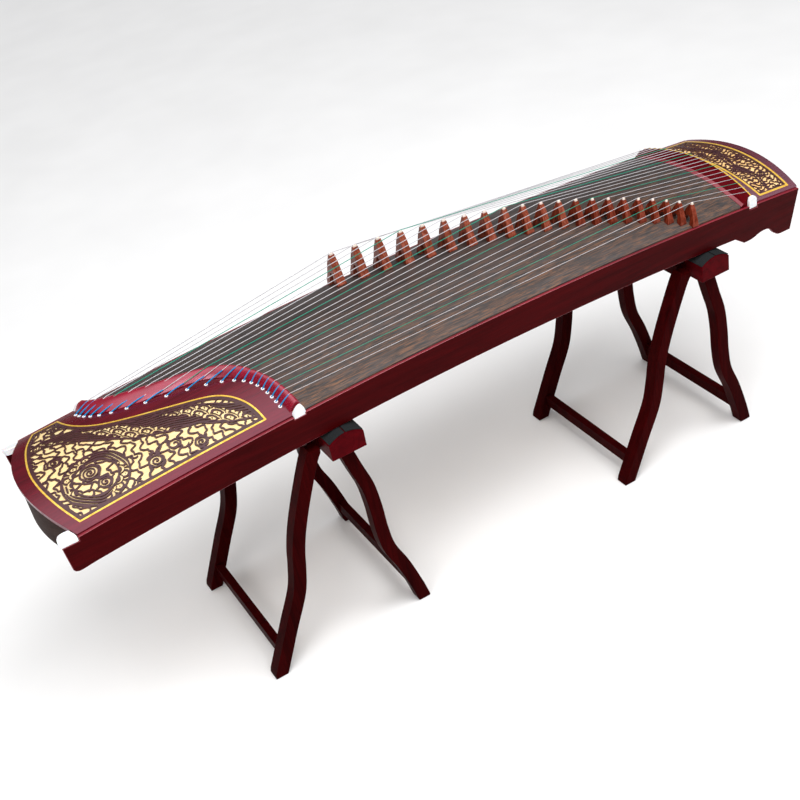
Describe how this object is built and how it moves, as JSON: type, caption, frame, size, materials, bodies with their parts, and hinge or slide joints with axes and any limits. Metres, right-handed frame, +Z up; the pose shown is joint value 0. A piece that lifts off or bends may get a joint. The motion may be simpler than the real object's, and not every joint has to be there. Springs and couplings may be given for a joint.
{
  "type": "guzheng on folding trestles",
  "caption": "Long arched zither with crowned top, wavy tail bridge, movable A-shaped bridges, carved end panels and two folding trestles.",
  "frame": {"origin": "on the floor under the middle of the instrument's bounding box", "axes": "+X along the instrument towards the tuning-pin end (the player's right), +Y away from the player, +Z up"},
  "size_m": [1.631, 0.38, 0.6402],
  "materials": {
    "red_lacquer": "deep red gloss lacquer",
    "dark_lacquer": "dark brown-red lacquer",
    "soundboard_wood": "charred straight-grained softwood, satin",
    "plain_wood": "raw wood",
    "bridge_wood": "oiled red hardwood, pale tip",
    "carved_wood": "pierced dark wood",
    "bone": "polished bone white",
    "string_wire": "nylon-wound steel",
    "hinge_steel": "zinc plated",
    "felt": "charcoal felt"
  },
  "bodies": {
    "instrument": {"soundboard": "soundboard_wood", "back_board": "plain_wood", "side_panel_near": "red_lacquer", "side_panel_far": "red_lacquer", "tail_plate": "red_lacquer", "tail_carving": "carved_wood", "tail_bridge": "red_lacquer", "head_bridge": "red_lacquer", "head_plate": "red_lacquer", "pin_block": "plain_wood", "head_end_board": "red_lacquer", "tail_end_board": "dark_lacquer", "strings": "string_wire", "inner_rib_left": "plain_wood", "inner_rib_right": "plain_wood", "tail_cap_near": "bone", "tail_cap_far": "bone"},
    "lid": {"pin_box_lid": "red_lacquer", "lid_carving": "carved_wood"},
    "bridge_01": {"bridge_01": "bridge_wood"},
    "bridge_02": {"bridge_02": "bridge_wood"},
    "bridge_03": {"bridge_03": "bridge_wood"},
    "bridge_04": {"bridge_04": "bridge_wood"},
    "bridge_05": {"bridge_05": "bridge_wood"},
    "bridge_06": {"bridge_06": "bridge_wood"},
    "bridge_07": {"bridge_07": "bridge_wood"},
    "bridge_08": {"bridge_08": "bridge_wood"},
    "bridge_09": {"bridge_09": "bridge_wood"},
    "bridge_10": {"bridge_10": "bridge_wood"},
    "bridge_11": {"bridge_11": "bridge_wood"},
    "bridge_12": {"bridge_12": "bridge_wood"},
    "bridge_13": {"bridge_13": "bridge_wood"},
    "bridge_14": {"bridge_14": "bridge_wood"},
    "bridge_15": {"bridge_15": "bridge_wood"},
    "bridge_16": {"bridge_16": "bridge_wood"},
    "bridge_17": {"bridge_17": "bridge_wood"},
    "bridge_18": {"bridge_18": "bridge_wood"},
    "bridge_19": {"bridge_19": "bridge_wood"},
    "bridge_20": {"bridge_20": "bridge_wood"},
    "bridge_21": {"bridge_21": "bridge_wood"},
    "left_trestle": {"left_trestle_beam": "red_lacquer", "left_trestle_pad": "felt", "left_trestle_fixed_leg_near": "red_lacquer", "left_trestle_fixed_leg_far": "red_lacquer", "left_trestle_fixed_stretcher": "red_lacquer", "left_trestle_hinge": "hinge_steel"},
    "left_trestle_folding_frame": {"left_trestle_folding_leg_near": "red_lacquer", "left_trestle_folding_leg_far": "red_lacquer", "left_trestle_folding_stretcher": "red_lacquer", "left_trestle_folding_rail": "red_lacquer"},
    "right_trestle": {"right_trestle_beam": "red_lacquer", "right_trestle_pad": "felt", "right_trestle_fixed_leg_near": "red_lacquer", "right_trestle_fixed_leg_far": "red_lacquer", "right_trestle_fixed_stretcher": "red_lacquer", "right_trestle_hinge": "hinge_steel"},
    "right_trestle_folding_frame": {"right_trestle_folding_leg_near": "red_lacquer", "right_trestle_folding_leg_far": "red_lacquer", "right_trestle_folding_stretcher": "red_lacquer", "right_trestle_folding_rail": "red_lacquer"}
  },
  "joints": [
    {"name": "bridge_01_slide", "type": "slide", "parent": "instrument", "child": "bridge_01", "axis": [0.998, 0, -0.0627], "range_m": [-0.0012, 0.0012], "deforming": ["strings"]},
    {"name": "bridge_02_slide", "type": "slide", "parent": "instrument", "child": "bridge_02", "axis": [0.9982, 0, -0.0605], "range_m": [-0.0012, 0.0012], "deforming": ["strings"]},
    {"name": "bridge_03_slide", "type": "slide", "parent": "instrument", "child": "bridge_03", "axis": [0.9983, 0, -0.0582], "range_m": [-0.0017, 0.0017], "deforming": ["strings"]},
    {"name": "bridge_04_slide", "type": "slide", "parent": "instrument", "child": "bridge_04", "axis": [0.9984, 0, -0.0557], "range_m": [-0.0022, 0.0022], "deforming": ["strings"]},
    {"name": "bridge_05_slide", "type": "slide", "parent": "instrument", "child": "bridge_05", "axis": [0.9986, 0, -0.053], "range_m": [-0.0027, 0.0027], "deforming": ["strings"]},
    {"name": "bridge_06_slide", "type": "slide", "parent": "instrument", "child": "bridge_06", "axis": [0.9987, 0, -0.0502], "range_m": [-0.0033, 0.0033], "deforming": ["strings"]},
    {"name": "bridge_07_slide", "type": "slide", "parent": "instrument", "child": "bridge_07", "axis": [0.9989, 0, -0.0471], "range_m": [-0.0038, 0.0038], "deforming": ["strings"]},
    {"name": "bridge_08_slide", "type": "slide", "parent": "instrument", "child": "bridge_08", "axis": [0.999, 0, -0.0439], "range_m": [-0.0043, 0.0043], "deforming": ["strings"]},
    {"name": "bridge_09_slide", "type": "slide", "parent": "instrument", "child": "bridge_09", "axis": [0.9992, 0, -0.0405], "range_m": [-0.0048, 0.0048], "deforming": ["strings"]},
    {"name": "bridge_10_slide", "type": "slide", "parent": "instrument", "child": "bridge_10", "axis": [0.9993, 0, -0.037], "range_m": [-0.0053, 0.0053], "deforming": ["strings"]},
    {"name": "bridge_11_slide", "type": "slide", "parent": "instrument", "child": "bridge_11", "axis": [0.9994, 0, -0.0333], "range_m": [-0.0058, 0.0058], "deforming": ["strings"]},
    {"name": "bridge_12_slide", "type": "slide", "parent": "instrument", "child": "bridge_12", "axis": [0.9996, 0, -0.0294], "range_m": [-0.0063, 0.0063], "deforming": ["strings"]},
    {"name": "bridge_13_slide", "type": "slide", "parent": "instrument", "child": "bridge_13", "axis": [0.9997, 0, -0.0253], "range_m": [-0.0068, 0.0068], "deforming": ["strings"]},
    {"name": "bridge_14_slide", "type": "slide", "parent": "instrument", "child": "bridge_14", "axis": [0.9998, 0, -0.021], "range_m": [-0.0073, 0.0073], "deforming": ["strings"]},
    {"name": "bridge_15_slide", "type": "slide", "parent": "instrument", "child": "bridge_15", "axis": [0.9999, 0, -0.0166], "range_m": [-0.0078, 0.0078], "deforming": ["strings"]},
    {"name": "bridge_16_slide", "type": "slide", "parent": "instrument", "child": "bridge_16", "axis": [0.9999, 0, -0.012], "range_m": [-0.0086, 0.0086], "deforming": ["strings"]},
    {"name": "bridge_17_slide", "type": "slide", "parent": "instrument", "child": "bridge_17", "axis": [1, 0, -0.0072], "range_m": [-0.0091, 0.0091], "deforming": ["strings"]},
    {"name": "bridge_18_slide", "type": "slide", "parent": "instrument", "child": "bridge_18", "axis": [1, 0, -0.0023], "range_m": [-0.0096, 0.0096], "deforming": ["strings"]},
    {"name": "bridge_19_slide", "type": "slide", "parent": "instrument", "child": "bridge_19", "axis": [1, 0, 0.0029], "range_m": [-0.0101, 0.0101], "deforming": ["strings"]},
    {"name": "bridge_20_slide", "type": "slide", "parent": "instrument", "child": "bridge_20", "axis": [1, 0, 0.0082], "range_m": [-0.0106, 0.0106], "deforming": ["strings"]},
    {"name": "bridge_21_slide", "type": "slide", "parent": "instrument", "child": "bridge_21", "axis": [0.9999, 0, 0.0136], "range_m": [-0.0111, 0.0111], "deforming": ["strings"]},
    {"name": "lid_lift", "type": "slide", "parent": "instrument", "child": "lid", "axis": [0, 0, 1], "range_m": [0, 0.05]},
    {"name": "left_trestle_lift", "type": "slide", "parent": "instrument", "child": "left_trestle", "axis": [0, 0, -1], "range_m": [0, 0.12]},
    {"name": "left_trestle_fold", "type": "hinge", "parent": "left_trestle", "child": "left_trestle_folding_frame", "pos_m": [-0.325, 0, 0.42956], "axis": [0, -1, 0], "range_deg": [0, 34]},
    {"name": "right_trestle_lift", "type": "slide", "parent": "instrument", "child": "right_trestle", "axis": [0, 0, -1], "range_m": [0, 0.12]},
    {"name": "right_trestle_fold", "type": "hinge", "parent": "right_trestle", "child": "right_trestle_folding_frame", "pos_m": [0.52, 0, 0.41649], "axis": [0, -1, 0], "range_deg": [0, 34]}
  ]
}
